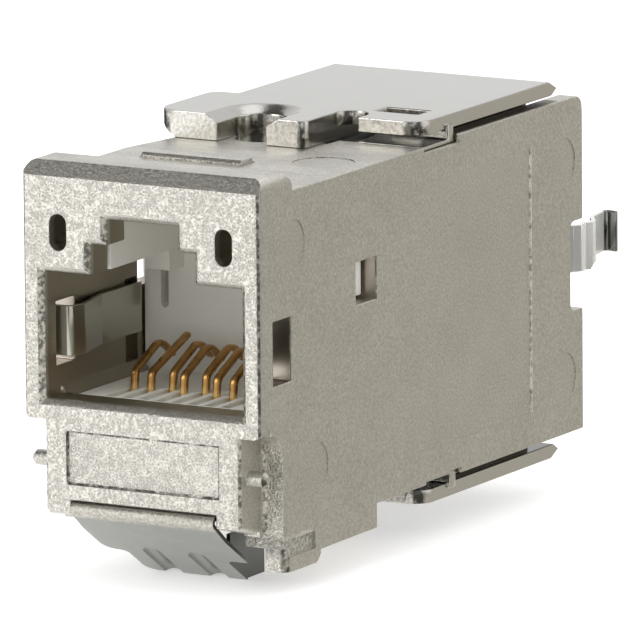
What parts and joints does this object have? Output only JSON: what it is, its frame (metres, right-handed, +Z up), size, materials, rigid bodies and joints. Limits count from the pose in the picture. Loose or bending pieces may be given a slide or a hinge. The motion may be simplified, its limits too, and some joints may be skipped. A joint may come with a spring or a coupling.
{
  "type": "keystone jack",
  "caption": "Shielded die-cast keystone jack with a modular plug port, a sprung panel latch, clip-on covers and a rear cable entry.",
  "frame": {"origin": "centre of the plug port's opening, in the plane of the front face", "axes": "+X to the right seen from the front, +Y from the port to the rear along the cable, +Z up towards the plug's lever notch"},
  "size_m": [0.0156, 0.0412, 0.0231],
  "materials": {
    "cast_zinc": "satin nickel plate on a sand-textured casting",
    "cover_zinc": "bright nickel plate on a smooth casting",
    "spring_steel": "rolled sheet",
    "pale_plastic": "satin moulded",
    "gold_contact": "gold plate",
    "board_laminate": "solder mask"
  },
  "bodies": {
    "body": {"housing": "cast_zinc", "top_cover": "cover_zinc", "bottom_cover": "cover_zinc", "contact_carrier": "pale_plastic", "plug_contact_1": "gold_contact", "plug_contact_2": "gold_contact", "plug_contact_3": "gold_contact", "plug_contact_4": "gold_contact", "plug_contact_5": "gold_contact", "plug_contact_6": "gold_contact", "plug_contact_7": "gold_contact", "plug_contact_8": "gold_contact", "port_shield_spring_left": "spring_steel", "port_shield_spring_right": "spring_steel", "circuit_board": "board_laminate", "wire_contact_block": "pale_plastic", "wire_contact_1": "gold_contact", "wire_contact_2": "gold_contact", "wire_contact_3": "gold_contact", "wire_contact_4": "gold_contact", "wire_contact_5": "gold_contact", "wire_contact_6": "gold_contact", "wire_contact_7": "gold_contact", "wire_contact_8": "gold_contact", "wire_manager": "pale_plastic", "cable_shield_spring_left": "spring_steel", "cable_shield_spring_right": "spring_steel"},
    "latch": {"panel_latch_spring": "spring_steel"}
  },
  "joints": [
    {"name": "latch_flex", "type": "hinge", "parent": "body", "child": "latch", "pos_m": [0, 0.00015, -0.00928], "axis": [1, 0, 0], "range_deg": [0, 12], "stiffness_Nm_per_rad": 0.15}
  ]
}
